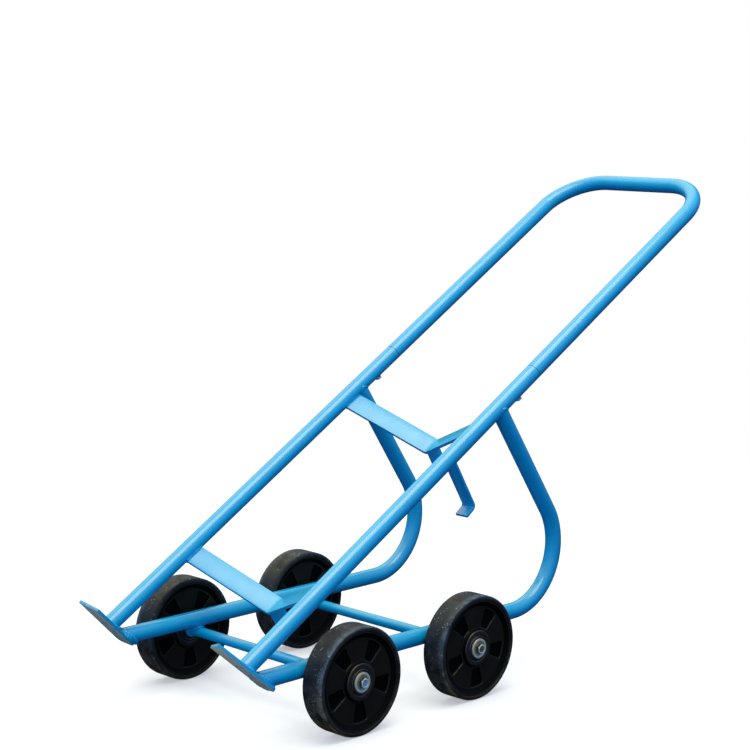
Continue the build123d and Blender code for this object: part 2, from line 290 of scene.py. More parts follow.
toe_finishes = [sky_blue_enamel, scraped_steel, knocked_paint]
for side_name, side in sides.items():
    plate = bmesh.new()
    along = toe_down * math.cos(toe_turn) + across * (side * math.sin(toe_turn))
    outward = across * (side * math.cos(toe_turn)) - toe_down * math.sin(toe_turn)
    middle = Vector(mounts[f"{side_name}_toe_face"]["pos_m"]) + toe_up * toe_thickness
    flat_plate(plate, [
        middle + along * (toe_skew - toe_half_length) - outward * toe_half_width,
        middle - along * (toe_skew + toe_half_length) + outward * toe_half_width,
        middle + along * toe_half_length + outward * toe_half_width,
        middle + along * toe_half_length - outward * toe_half_width,
    ], -toe_up * toe_thickness)
    uprights = [edge for edge in plate.edges if runs_along(edge, toe_up)]
    tail = [edge for edge in uprights if (edge.verts[0].co - middle).dot(along) > 0]
    soften(plate, tail, toe_corner, corner_steps)
    soften(plate, sharp_edges(plate), plate_edge)
    for face in plate.faces:
        if face.normal.dot(toe_up) < -facing:
            face.material_index = toe_finishes.index(scraped_steel)
        elif face.normal.dot(along) < -facing:
            face.material_index = toe_finishes.index(knocked_paint)
    set_on_truck(plate, f"{side_name}_toe_plate_bar", [f"{side_name}_toe_plate"], toe_finishes)

# Support loops. Tube bent once to a wide curve: the strut above is cut to fit round the rail,
# and the level run below goes forward over both axles to the toe plate.
rearward = Vector((1, 0, 0))
loop_bend = 0.121
bend_steps = 38
strut_lean = math.radians(33.9)
strut_line = Vector((math.sin(strut_lean), 0, -math.cos(strut_lean)))
strut_side = Vector((math.cos(strut_lean), 0, math.sin(strut_lean)))
strut_from_seam = 0.117
run_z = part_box("right_support_loop")[0].z + tube_radius
strut_top = seam_middle - rail_line * strut_from_seam
strut_length = (strut_top.z - run_z) / math.cos(strut_lean)
loop_turn = math.pi / 2 + strut_lean
bend_start = strut_length - loop_bend * math.tan(loop_turn / 2)


def verts_of(parts):
    """The vertices of some edges or faces."""
    return {vert for part in parts for vert in part.verts}


def bend_on(bm, edges, centre, axis, angle, steps):
    """Bend the open end of a tube or bar on around a centre."""
    made = bmesh.ops.spin(bm, geom=edges, cent=centre, axis=axis, angle=angle, steps=steps)
    return of_kind(made["geom_last"], bmesh.types.BMEdge)


def meet_rail(point, along, side, sink=0.0):
    """Slide a point along a line until it lies on the rail on that side, or sunk in it by a little."""
    offset = point - seam_middle - across * (side * rail_y)
    offset -= rail_line * offset.dot(rail_line)
    push = along - rail_line * along.dot(rail_line)
    reach = offset.dot(push) / push.length_squared
    spare = reach ** 2 - (offset.length_squared - (tube_radius - sink) ** 2) / push.length_squared
    return point + along * (math.sqrt(max(spare, 0)) - reach)


for side_name, side in sides.items():
    loop = bmesh.new()
    top = strut_top + across * (side * rail_y)
    edges = ring_on(loop, tube_radius, top, strut_line)
    saddle = verts_of(edges)
    edges = carry_on(loop, edges, strut_line * bend_start)
    for vert in saddle:
        vert.co = meet_rail(vert.co, strut_line, side)
    bend_centre = top + strut_line * bend_start - strut_side * loop_bend
    edges = bend_on(loop, edges, bend_centre, across, loop_turn, bend_steps)
    carry_on(loop, edges, -rearward * spare_length)
    end_on_toe(loop)
    set_on_truck(loop, f"{side_name}_loop_tube", [f"{side_name}_support_loop"], [sky_blue_enamel])

# Cross bars. Flat bar of 43 by 6 mm folded to a V on a press, so that it hangs clear of the
# drum, and welded to the inner sides of the rails.
bar_width = 0.043
bar_thickness = 0.006
bar_slope = math.radians(26)
bar_drop = 0.096
bar_bend = 0.008
bar_from_seam = {"lower": 0.643, "upper": 0.154}
fold_radius = bar_bend + bar_thickness / 2
fold_steps = 10


def bar_ring(bm, width, thickness, centre, along, wide):
    """Start a flat bar with an open ring of edges, rounded at its corners."""
    up = along.cross(wide)
    verts = [bm.verts.new(centre + wide * (a * width / 2) + up * (b * thickness / 2))
             for a, b in ((1, 1), (-1, 1), (-1, -1), (1, -1))]
    bm.faces.new(verts)
    bmesh.ops.bevel(bm, geom=verts, offset=plate_edge, offset_type="OFFSET", affect="VERTICES",
                    segments=2, profile=0.5, material=-1)
    outline = max(bm.faces, key=lambda face: len(face.verts))
    edges = list(outline.edges)
    bmesh.ops.delete(bm, geom=[outline], context="FACES_ONLY")
    return edges


def fold_centre(bar_name):
    """The centre that a cross bar's fold is bent around."""
    over_fold = seam_middle - rail_line * bar_from_seam[bar_name]
    return over_fold + rail_below * (bar_drop - bar_bend / math.cos(bar_slope))


def bar_leg(bar_name, side):
    """Where a cross bar's leg to one rail starts at the fold, its direction to the rail and its length."""
    leg_line = across * (side * math.cos(bar_slope)) - rail_below * math.sin(bar_slope)
    leg_under = rail_below * math.cos(bar_slope) + across * (side * math.sin(bar_slope))
    start = fold_centre(bar_name) + leg_under * fold_radius
    return start, leg_line, (rail_y - side * start.y) / math.cos(bar_slope)


for bar_name in bar_from_seam:
    bar = bmesh.new()
    start, leg_line, leg_length = bar_leg(bar_name, sides["left"])
    edges = bar_ring(bar, bar_width, bar_thickness, start + leg_line * leg_length, -leg_line, rail_line)
    left_end = verts_of(edges)
    edges = carry_on(bar, edges, -leg_line * leg_length)
    for vert in left_end:
        vert.co = meet_rail(vert.co, -leg_line, sides["left"])
    edges = bend_on(bar, edges, fold_centre(bar_name), rail_line, 2 * bar_slope, fold_steps)
    start, leg_line, leg_length = bar_leg(bar_name, sides["right"])
    edges = carry_on(bar, edges, leg_line * leg_length)
    for vert in verts_of(edges):
        vert.co = meet_rail(vert.co, -leg_line, sides["right"])
    close_ends(bar)
    set_on_truck(bar, f"{bar_name}_cross_bar_strip", [f"{bar_name}_cross_bar"], [sky_blue_enamel])

# Gussets. Small 5 mm plates welded on edge under the folds of the cross bars, each with one
# corner rounded off. The upper one carries the hook.
gusset_width = 0.032
gusset_setback = 0.0055
gusset_height = 0.060
gusset_thickness = 0.005
gusset_corner = 0.012
fold_lift = (bar_bend + bar_thickness) * (1 / math.cos(bar_slope) - 1)
gusset_top = bar_drop + bar_thickness / math.cos(bar_slope) - fold_lift
gusset_foot = gusset_top + gusset_height
heel_lead = bar_width / 2 - gusset_setback


def gusset_heel(bar_name):
    """The point between the rails that lies over the heel of a cross bar's gusset."""
    return seam_middle - rail_line * (bar_from_seam[bar_name] - heel_lead)


for bar_name in bar_from_seam:
    plate = bmesh.new()
    heel = gusset_heel(bar_name) - across * (gusset_thickness / 2)
    front = heel - rail_line * gusset_width
    rounded = front + rail_below * gusset_foot
    flat_plate(plate, [front + rail_below * gusset_top, heel + rail_below * gusset_top,
                       heel + rail_below * gusset_foot, rounded], across * gusset_thickness)
    corner = [edge for edge in plate.edges
              if runs_along(edge, across) and (edge.verts[0].co - rounded).length < gusset_corner]
    soften(plate, corner, gusset_corner, corner_steps)
    soften(plate, sharp_edges(plate), plate_edge)
    set_on_truck(plate, f"{bar_name}_gusset_plate", [f"{bar_name}_gusset"], [sky_blue_enamel])

# Strap hook. Flat bar of 32 by 6 mm welded on the heel of the upper gusset, a little to the left,
# its end bent towards the toe plates to hold the strap that goes round the drum.
hook_width = 0.032
hook_thickness = 0.006
hook_offset = 0.010
hook_overlap = 0.028
hook_length = 0.133
hook_toe = 0.029
hook_bend = 0.006
hook_turn = math.radians(85)
hook_steps = 10
hook_radius = hook_bend + hook_thickness / 2
knee_take = hook_radius * math.tan(hook_turn / 2)
hook_start = gusset_heel("upper") + rail_line * (hook_thickness / 2) - across * hook_offset
hook_start += rail_below * (gusset_foot - hook_overlap)
knee_start = hook_start + rail_below * (hook_length - knee_take)
toe_line = rail_below * math.cos(hook_turn) - rail_line * math.sin(hook_turn)
hook = bmesh.new()
edges = bar_ring(hook, hook_width, hook_thickness, hook_start, rail_below, across)
edges = carry_on(hook, edges, knee_start - hook_start)
edges = bend_on(hook, edges, knee_start - rail_line * hook_radius, across, hook_turn, hook_steps)
carry_on(hook, edges, toe_line * (hook_toe - knee_take))
close_ends(hook)
set_on_truck(hook, "strap_hook_bar", ["strap_hook"], [sky_blue_enamel])

# Axles and their collars. Bars of 20 mm round steel welded across under both runs, bored and
# tapped at the ends, with a turned ring at each end that keeps the wheel off the tube.
axle_names = ("front", "rear")
wheel_names = [f"{axle_name}_{side_name}" for axle_name in axle_names for side_name in sides]
axle_bore = 0.00505
bore_depth = 0.036
axle_chamfer = 0.001
turned_sides = 64


def turned(bm, outline, centre, steps=turned_sides):
    """Turn an outline of (radius, offset) points about an axle, closed unless it starts on the axis."""
    verts = [bm.verts.new((radius, offset, 0)) for radius, offset in outline]
    pairs = list(zip(verts, verts[1:]))
    if outline[0][0] > 0:
        pairs.append((verts[-1], verts[0]))
    start = len(bm.verts) - len(verts)
    bmesh.ops.spin(bm, geom=verts + [bm.edges.new(pair) for pair in pairs], cent=(0, 0, 0), axis=across,
                   angle=2 * math.pi, steps=steps, use_merge=True)
    bm.verts.ensure_lookup_table()
    bmesh.ops.translate(bm, vec=centre, verts=bm.verts[start:])


def both_halves(half):
    """A whole outline from the half of it on one side of the middle."""
    return half + [(radius, -offset) for radius, offset in reversed(half)]


def middle_of(node):
    """The middle of a CAD node's box."""
    low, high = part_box(node)
    return (low + high) / 2


for axle_name in axle_names:
    low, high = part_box(f"{axle_name}_axle")
    axle_radius = (high.z - low.z) / 2
    end = (high.y - low.y) / 2
    half = [(0, end - bore_depth), (axle_bore, end - bore_depth), (axle_bore, end),
            (axle_radius - axle_chamfer, end), (axle_radius, end - axle_chamfer)]
    axle = bmesh.new()
    turned(axle, both_halves(half), middle_of(f"{axle_name}_axle"))
    set_on_truck(axle, f"{axle_name}_axle_bar", [f"{axle_name}_axle"], [sky_blue_enamel])

collar_radius = 0.014
collar_half = 0.0025
collar_edge = 0.0006
hub_half = 0.0245
fit_gap = 0.00005


def turned_ring(bm, bore, outer, low, high, centre):
    """Turn a plain ring about an axle, from a low to a high offset off its centre."""
    turned(bm, [(bore, low), (outer, low), (outer, high), (bore, high)], centre)


collars = bmesh.new()
for wheel_name in wheel_names:
    centre = middle_of(f"{wheel_name}_tyre")
    inward = across * -math.copysign(hub_half + collar_half, centre.y)
    turned_ring(collars, axle_radius + fit_gap, collar_radius, -collar_half, collar_half, centre + inward)
soften(collars, sharp_edges(collars), collar_edge)
set_on_truck(collars, "axle_collar_rings", ["axle_collars"], [sky_blue_enamel])

# Weld beads. The frame is welded by hand before it is painted, so thick rippled beads stand
# round its joints: at the ends of the tubes and cross bars, the axles, the gussets and the hook.
# The runs are welded to the toe plates in two passes, side by side.
upward = Vector((0, 0, 1))
bead_points = 72
bead_dips = 22
bead_ripple = 0.10
bead_drift = 0.10
drift_rate = 0.41
bead_end = 0.55
bead_sink = 0.0014
bead_radius = tube_radius - bead_sink
bead_rounding = 3
bead_sharp = 80
fewest_steps = 4
foot_bead = 0.0095
foot_step = 0.008
strut_bead = 0.0062
axle_bead = 0.0065
bar_beads = {"lower": 0.0075, "upper": 0.0058}
plate_bead = 0.0050
axle_loop = 0.0090
weld = bmesh.new()


def lay_bead(path, width, closed=True):
    """Lay a bead along a path: round on top, swelling with each dip of the rod and the welder's hand."""
    bead = bpy.data.curves.new("bead", "CURVE")
    bead.dimensions = "3D"
    bead.bevel_depth = width / 2
    bead.bevel_resolution = bead_rounding
    bead.use_fill_caps = not closed
    line = bead.splines.new("POLY")
    line.points.add(len(path) - 1)
    line.use_cyclic_u = closed
    for count, place in enumerate(path):
        dip = math.sin(2 * math.pi * bead_dips * count / bead_points)
        swell = 1 + bead_ripple * dip + bead_drift * math.sin(drift_rate * count)
        if not closed and count in (0, len(path) - 1):
            swell = bead_end
        line.points[count].co = (*place, 1)
        line.points[count].radius = swell
    holder = bpy.data.objects.new("bead", bead)
    mesh = bpy.data.meshes.new_from_object(holder)
    weld.from_mesh(mesh)
    bpy.data.objects.remove(holder)
    bpy.data.meshes.remove(mesh)
    bpy.data.curves.remove(bead)


def round_points(centre, one, two, radius):
    """Points round a circle, from its centre and two directions in its plane."""
    turns = [2 * math.pi * step / bead_points for step in range(bead_points)]
    return [centre + (one * math.cos(turn) + two * math.sin(turn)) * radius for turn in turns]


def straight_points(start, end):
    """Points along a straight bead, as close as on a round one."""
    count = max(int((end - start).length / (2 * math.pi * tube_radius / bead_points)), fewest_steps)
    return [start.lerp(end, step / count) for step in range(count + 1)]


def drop_on_toe(point, along):
    """Slide a point along a tube's line to the upper face of the toe plate."""
    return point + along * ((toe_top - point).dot(toe_up) / along.dot(toe_up)) - toe_up * bead_sink


for side in sides.values():
    beside = across * (side * rail_y)
    rail_round = round_points(seam_middle + beside, across, rail_below, bead_radius)
    lay_bead([drop_on_toe(point, rail_line) for point in rail_round], foot_bead)
    run_round = round_points(upward * run_z + beside, across, upward, bead_radius)
    for pass_step in (0, foot_step):
        lay_bead([drop_on_toe(point, rearward) + rearward * pass_step for point in run_round], foot_bead)
    strut_round = round_points(strut_top + beside, across, strut_side, bead_radius)
    lay_bead([meet_rail(point, strut_line, side, bead_sink) for point in strut_round], strut_bead)
    for bar_name, bar_bead in bar_beads.items():
        start, leg_line, leg_length = bar_leg(bar_name, side)
        for face_side in (1, -1):
            face_edge = start + leg_line * leg_length
            face_edge += leg_line.cross(rail_line) * (side * face_side * bar_thickness / 2)
            half_width = rail_line * (bar_width / 2)
            path = straight_points(face_edge - half_width, face_edge + half_width)
            path = [meet_rail(point, -leg_line, side, bead_sink) for point in path]
            lay_bead(path, bar_bead, closed=False)
    for axle_name in axle_names:
        touch = middle_of(f"{axle_name}_axle") + beside
        path = []
        for point in round_points(touch, rearward, across, axle_loop):
            offset = point - touch
            under_tube = run_z - math.sqrt(tube_radius ** 2 - offset.y ** 2)
            over_axle = touch.z + math.sqrt(axle_radius ** 2 - offset.x ** 2)
            path.append(Vector((point.x, point.y, (under_tube + over_axle) / 2)))
        lay_bead(path, axle_bead)
    flank = across * (side * gusset_thickness / 2)
    for bar_name in bar_from_seam:
        heel = gusset_heel(bar_name) + rail_below * gusset_top + flank
        lay_bead(straight_points(heel, heel - rail_line * gusset_width), plate_bead, closed=False)
    hook_foot = gusset_heel("upper") + rail_below * gusset_foot + flank
    lay_bead(straight_points(hook_foot - rail_below * hook_overlap, hook_foot), plate_bead, closed=False)
set_on_truck(weld, "weld_beads", [], [sky_blue_enamel], sharp=bead_sharp)

# Handle. One length of the same tube bent to a U in the plane of the rails, its ends pushed
# over the sleeves in the rails. The bends were made on a tube bender, so they stay round.
handle_bend = 0.105
grip = Vector(mounts["grip"]["pos_m"])
handle_leg = (grip - seam_middle).dot(rail_line) - handle_bend - seam_half
bend_middle = grip - rail_line * handle_bend
bend_aside = across * (rail_y - handle_bend)
bow = bmesh.new()
seam = seam_middle + across * rail_y
edges = ring_on(bow, tube_radius * seam_size, seam, rail_line)
edges = carry_on(bow, edges, rail_line * seam_half, 1 / seam_size)
edges = carry_on(bow, edges, rail_line * handle_leg)
edges = bend_on(bow, edges, bend_middle + bend_aside, rail_below, math.pi / 2, bend_steps)
edges = carry_on(bow, edges, bend_aside * -2)
edges = bend_on(bow, edges, bend_middle - bend_aside, rail_below, math.pi / 2, bend_steps)
edges = carry_on(bow, edges, -rail_line * handle_leg)
carry_on(bow, edges, -rail_line * seam_half, seam_size)
close_ends(bow)
for face in bow.faces:
    if (face.calc_center_median() - seam).dot(rail_line) < seam_half:
        face.material_index = tube_finishes.index(seam_grime)
set_on_truck(bow, "handle_tube", ["handle_bow"], tube_finishes)

# Sleeves and screws of the handle. The sleeves are thick drawn tube inside the joints, and the
# screws are zinc-plated hexagon screws that go up through the rails into them.
screw_setback = 0.062
screw_flats = 0.013
screw_height = 0.0055
screw_thread = 0.008
screw_length = 0.009
head_cone = 0.86
cone_slope = math.tan(math.radians(30))
dish_depth = 0.0005
dish_size = 0.86
small_sharp = 20
# The grain of the metal is drawn coarser than the real one, which is too fine to show.
metal_grain = 0.0007


def make_metal(name, light, dark, smooth, rough, patch, metallic=1.0):
    """Bare or plated steel: tone and gloss that drift over patches of a size, with fine grain."""
    material, tree, shader, place = start_material(name)
    stains = add_node(tree, "TexNoise", {"Vector": place, "Scale": 1 / patch, "Detail": 4.0})
    tone = add_node(tree, "Mix", [stains, dark, light], data_type="RGBA")
    gloss = add_node(tree, "MapRange", [stains, 0.3, 0.7, rough, smooth])
    grain = add_node(tree, "TexNoise", {"Vector": place, "Scale": 1 / metal_grain, "Detail": 2.0})
    relief = add_node(tree, "Bump", {"Height": grain, "Strength": 0.2, "Distance": 0.0001})
    fill_inputs(tree, shader, {"Base Color": tone, "Roughness": gloss, "Normal": relief,
                               "Metallic": metallic})
    return material


def hexagon_bolt(bm, seat, along, flats, height, thread, length):
    """A forged hexagon bolt: a round shank, and a head turned to a cone at its corners and dished on top."""
    made = bmesh.ops.create_circle(bm, segments=6, radius=flats / math.sqrt(3), matrix=pointed(seat, along))
    cut = bmesh.ops.subdivide_edges(bm, edges=edges_at(made["verts"]), cuts=tube_sides // 6 - 1)
    outline = of_kind(cut["geom"], bmesh.types.BMEdge)
    shank = ring_on(bm, thread / 2, seat, along)
    bmesh.ops.bridge_loops(bm, edges=outline + shank)
    carry_on(bm, shank, -along * length)
    top = carry_on(bm, outline, along * height)
    for vert in verts_of(top):
        offset = vert.co - seat
        out = (offset - along * offset.dot(along)).length - head_cone * flats / 2
        vert.co -= along * (out * cone_slope)
    face_ring = ring_on(bm, head_cone * flats / 2, seat + along * height, along)
    bmesh.ops.bridge_loops(bm, edges=top + face_ring)
    carry_on(bm, face_ring, -along * dish_depth, dish_size)
    close_ends(bm)


def finish_node(node, finish):
    """Give a CAD node that stays as it is its finish."""
    for slot in frame["nodes"][node].material_slots:
        slot.material = finish


# Zinc plate: pale grey metal with a faint warm cast, dull where it has been handled.
zinc_plate = make_metal("zinc_plated_steel", "#FFF4DC", "#D6CCB4", smooth=0.30, rough=0.46, patch=0.006,
                        metallic=0.6)
# Drawn steel: plain grey metal, never painted because it is inside the tubes.
drawn_steel = make_metal("drawn_steel", "#8A8A88", "#6C6B68", smooth=0.35, rough=0.5, patch=0.015)

screws = bmesh.new()
for side_name, side in sides.items():
    seat = seam_middle - rail_line * screw_setback + across * (side * rail_y) + rail_below * tube_radius
    hexagon_bolt(screws, seat, rail_below, screw_flats, screw_height, screw_thread, screw_length)
    finish_node(f"{side_name}_handle_sleeve", drawn_steel)
set_on_truck(screws, "handle_hexagon_screws", ["handle_screws"], [zinc_plate],
             sharp=small_sharp)

# Tyres. Solid black rubber, pressed on the wheel centres: flat treads with rounded shoulders.
# Low down the treads are painted brown: soil, and a painted warm cast that offsets the blue light there.
# Higher up, and most in a band round the outer shoulders, they are painted bluish grey: dust, and a
# painted sheen of the sky. Pale grit sticks in them.
tyre_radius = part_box("front_left_tyre")[1].z / 2
tyre_half = 0.025
tyre_shoulder = 0.005
shoulder_steps = 6
rim_radius = 0.0915
rim_lip = 0.0005
wheel_steps = 240
wheel_y = abs(middle_of("front_left_tyre").y)
# The band of dust and painted sheen covers this outer share of each tread.
dusty_sheen_share = 0.65
dusty_sheen_edge = wheel_y + tyre_half
dusty_sheen_start = dusty_sheen_edge - dusty_sheen_share * tyre_half
# Heights where the painted brown low down gives way to bluish grey dust and painted sheen.
soil_low = 0.07
soil_high = 0.15
soil_spread = 0.06
film_size = 0.030
scuff_size = 0.020
soil_size = 0.090
grit_spacing = 0.005
grit_field = 0.018
# The pores are drawn coarser than those of real rubber, which are too fine to show.
pore_size = 0.0018


def make_rubber(name, dust, stones, sheen_and_soil, tint):
    """Pressed black rubber: a dull skin under smears of dust, soil and a painted sky sheen, with pale grit
    stuck in it.
    """
    material, tree, shader, place = start_material(name)
    film = add_node(tree, "TexNoise", {"Vector": place, "Scale": 1 / film_size, "Detail": 6.0})
    dusty = add_node(tree, "MapRange", [film, 0.35, 0.75, 0.0, dust])
    scuffs = add_node(tree, "TexNoise",
                      {"Vector": place, "Scale": 1 / scuff_size, "Detail": 4.0, "Distortion": 1.0})
    smeared = add_node(tree, "MapRange", [scuffs, 0.38, 0.62, 0.15, 1.0])
    side_reach = add_node(tree, "SeparateXYZ", [place]).outputs["Y"]
    reach = add_node(tree, "Math", [side_reach], operation="ABSOLUTE")
    # A band round the outer shoulder, painted lighter: dust and a painted sheen of the sky.
    shoulder = add_node(tree, "MapRange", [reach, dusty_sheen_start, dusty_sheen_edge, 0.0, sheen_and_soil])
    soils = add_node(tree, "TexNoise", {"Vector": place, "Scale": 1 / soil_size, "Detail": 2.0})
    lift = add_node(tree, "SeparateXYZ", [place]).outputs["Z"]
    spread = add_node(tree, "Math", [soils, soil_spread, lift], operation="MULTIPLY_ADD")
    height = add_node(tree, "MapRange", [spread, soil_low, soil_high, 0.0, 1.0])
    caked = add_node(tree, "MapRange", [height, 0.0, 1.0, sheen_and_soil / 2, 0.0])
    laid = add_node(tree, "Math", [dusty, shoulder], operation="ADD")
    heaped = add_node(tree, "Math", [laid, caked], operation="ADD")
    patchy = add_node(tree, "Math", [heaped, smeared], operation="MULTIPLY")
    # Painted brown low down (soil, and a warm cast against the blue light there), bluish grey higher up
    # (dust and a painted sky sheen).
    dirt = add_node(tree, "Mix", [height, "#86704C", "#5A6E82"], data_type="RGBA")
    skin = add_node(tree, "Mix", [patchy, "#0D0D0D", dirt], data_type="RGBA")
    pebbles = add_node(tree, "TexVoronoi", {"Vector": place, "Scale": 1 / grit_spacing})
    specks = add_node(tree, "MapRange", [pebbles, 0.15, 0.24, stones, 0.0])
    fields = add_node(tree, "TexNoise", {"Vector": place, "Scale": 1 / grit_field, "Detail": 3.0})
    strewn = add_node(tree, "MapRange", [fields, 0.50, 0.60, 0.0, 1.0])
    caught = add_node(tree, "Math", [specks, strewn], operation="MULTIPLY")
    tone = add_node(tree, "Mix", [caught, skin, "#949CA2"], data_type="RGBA")
    gloss = add_node(tree, "MapRange", [scuffs, 0.35, 0.65, 0.42, 0.70])
    pores = add_node(tree, "TexNoise", {"Vector": place, "Scale": 1 / pore_size, "Detail": 3.0})
    relief = add_node(tree, "Bump", {"Height": pores, "Strength": 0.25, "Distance": 0.0003})
    fill_inputs(tree, shader, {"Base Color": tone, "Roughness": gloss, "Normal": relief, "IOR": 1.52,
                               "Specular Tint": tint})
    return material


# Tyre rubber: near black and dull on the sides; on the tread, greyed by dust and a painted sky sheen and
# flecked with grit.
side_rubber = make_rubber("black_tyre_rubber", dust=0.25, stones=0.0, sheen_and_soil=0.0, tint="#FFE8D2")
tread_rubber = make_rubber("tread_rubber_with_painted_sheen", dust=0.13, stones=0.85, sheen_and_soil=0.66, tint="#C4CEDE")


def from_axle(point):
    """How far a point of a wheel at the origin lies from the axle's line."""
    return math.hypot(point.x, point.z)


def fit_to_wheels(bm, piece, node, finishes, sharp=sharp_angle):
    """Fit a copy of a turned shape to each of the four wheels, in place of one of its nodes."""
    for wheel_name in wheel_names:
        copy = bm.copy()
        bmesh.ops.translate(copy, vec=middle_of(f"{wheel_name}_tyre"), verts=copy.verts)
        set_on_truck(copy, f"{wheel_name}_{piece}", [f"{wheel_name}_{node}"], finishes,
                     f"{wheel_name}_wheel", sharp)
    bm.free()


tyre_finishes = [side_rubber, tread_rubber]
tyre = bmesh.new()
half = [(rim_radius + fit_gap, tyre_half), (tyre_radius, tyre_half)]
turned(tyre, both_halves(half), Vector(), wheel_steps)
bmesh.ops.recalc_face_normals(tyre, faces=tyre.faces)
shoulders = [edge for edge in sharp_edges(tyre) if from_axle(edge.verts[0].co) > rim_radius + rim_lip]
soften(tyre, shoulders, tyre_shoulder, shoulder_steps)
soften(tyre, sharp_edges(tyre), rim_lip)
for face in tyre.faces:
    if from_axle(face.calc_center_median()) > tyre_radius - tyre_shoulder / 2:
        face.material_index = tyre_finishes.index(tread_rubber)
fit_to_wheels(tyre, "tyre_ring", "tyre", tyre_finishes)

# Wheel centres. Moulded black nylon: a hub and a rim joined by a web with five pockets sunk in
# each face. The pockets and slopes are painted near black as shade, the rounded edges are painted
# grey and shiny as highlights, and handling has rubbed the raised faces to a low sheen.
web_half = 0.017
web_radius = 0.080
web_rings = 9
rim_half = 0.023
rim_wall = 0.0035
hub_radius = 0.034
hub_foot = 0.0355
hub_round = 0.002
hub_steps = 4
foot_round = 0.0024
slope_round = 0.0010
foot_steps = 3
seat_radius = 0.02355
seat_chamfer = 0.002
shoulder_radius = 0.020
spacer_half = 0.0105
pocket_count = 5
pocket_inner = 0.0395
pocket_outer = 0.076
pocket_sector = 2 * math.pi / pocket_count
pocket_half_angle = math.radians(13.5)
pocket_phase = math.radians(57)
pocket_depth = 0.004
pocket_draft = 0.0006
pocket_corner = 0.004
mould_edge = 0.0008
mould_sharp = 30
outward_facing = 0.95
cloud_size = 0.025
# The grain of the mould is drawn coarser than the real one, which is too fine to show.
spark_size = 0.0012


def make_nylon(name, dark, light, smooth, rough, specular, tint):
    """Moulded nylon: almost black, with a sheen that changes from place to place and a fine grain."""
    material, tree, shader, place = start_material(name)
    cloud = add_node(tree, "TexNoise", {"Vector": place, "Scale": 1 / cloud_size, "Detail": 4.0})
    tone = add_node(tree, "Mix", [cloud, dark, light], data_type="RGBA")
    gloss = add_node(tree, "MapRange", [cloud, 0.3, 0.7, smooth, rough])
    spark = add_node(tree, "TexNoise", {"Vector": place, "Scale": 1 / spark_size, "Detail": 2.0})
    relief = add_node(tree, "Bump", {"Height": spark, "Strength": 0.12, "Distance": 0.0002})
    fill_inputs(tree, shader, {"Base Color": tone, "Roughness": gloss, "Normal": relief, "IOR": 1.53,
                               "Specular IOR Level": specular, "Specular Tint": tint})
    return material


# Rubbed nylon: raised faces that catch a low sheen. Shade nylon: pockets and slopes, painted near
# black as shade. Highlight nylon: rounded edges painted grey and shiny as highlights, so they draw thin
# lines.
# Scuffed nylon: the faces of the hubs, a shade greyer than the rest.
rubbed_nylon = make_nylon("rubbed_black_nylon", "#0F0D0A", "#161410", smooth=0.36, rough=0.50,
                          specular=0.25, tint="#FFD0A4")
shade_painted_nylon = make_nylon("black_nylon_with_painted_shade", "#020202", "#050505", smooth=0.36, rough=0.50,
                        specular=0.06, tint="#FFE8D2")
highlight_painted_nylon = make_nylon("nylon_edges_with_painted_highlight", "#161615", "#20201E", smooth=0.22, rough=0.32,
                            specular=0.7, tint="#F0EAE4")
hub_nylon = make_nylon("scuffed_hub_nylon", "#1C1A17", "#26231F", smooth=0.36, rough=0.50,
                       specular=0.24, tint="#FFD0A4")


def in_pocket(face, face_side):
    """Whether a face of the web on one side lies inside the outline of a pocket."""
    middle = face.calc_center_median()
    turn = math.atan2(middle.z, middle.x) - pocket_phase + pocket_sector / 2
    aside = abs(turn % pocket_sector - pocket_sector / 2)
    on_web = face.normal.y * face_side > outward_facing and abs(middle.y * face_side - web_half) < fit_gap
    return on_web and aside < pocket_half_angle and pocket_inner < from_axle(middle) < pocket_outer


def round_pocket(verts, radius, outward):
    """Round the two corners of every pocket at one radius, by moving its outline's vertices."""
    centre_radius = radius - outward * pocket_corner
    centre_angle = pocket_half_angle - math.asin(pocket_corner / centre_radius)
    for count in range(pocket_count):
        for hand in (1, -1):
            turn = pocket_phase + count * pocket_sector + hand * centre_angle
            limit = pocket_phase + count * pocket_sector + hand * pocket_half_angle
            away = Vector((math.cos(turn), 0, math.sin(turn))) * outward
            aside = Vector((-math.sin(limit), 0, math.cos(limit))) * hand
            for vert in verts:
                centre = Vector((centre_radius * math.cos(turn), vert.co.y, centre_radius * math.sin(turn)))
                offset = vert.co - centre
                if offset.dot(away) > 0 and offset.dot(aside) > 0 and offset.length < 2 * pocket_corner:
                    vert.co = centre + offset.normalized() * pocket_corner


def circle_edges(bm, radius, offset):
    """The edges of a turned shape that lie at a radius and at an offset to either side."""
    circle = {vert for vert in bm.verts if abs(from_axle(vert.co) - radius) < fit_gap
              and abs(abs(vert.co.y) - offset) < fit_gap}
    return [edge for edge in bm.edges if circle.issuperset(edge.verts)]


def facing_finish(face):
    """The finish of a face by where it looks: rubbed if it faces outwards, painted shade if it slopes."""
    return rubbed_nylon if abs(face.normal.y) > outward_facing else shade_painted_nylon


wheel_finishes = [rubbed_nylon, shade_painted_nylon, highlight_painted_nylon, hub_nylon]
moulding = bmesh.new()
web_radii = [pocket_inner + (pocket_outer - pocket_inner) * step / web_rings
             for step in range(web_rings + 1)]
half = [(shoulder_radius, spacer_half), (seat_radius, spacer_half), (seat_radius, hub_half - seat_chamfer),
        (seat_radius + seat_chamfer, hub_half), (hub_radius, hub_half), (hub_foot, web_half),
        *((radius, web_half) for radius in web_radii), (web_radius, web_half),
        (rim_radius - rim_wall, rim_half), (rim_radius, rim_half)]
turned(moulding, both_halves(half), Vector(), wheel_steps)
bmesh.ops.recalc_face_normals(moulding, faces=moulding.faces)
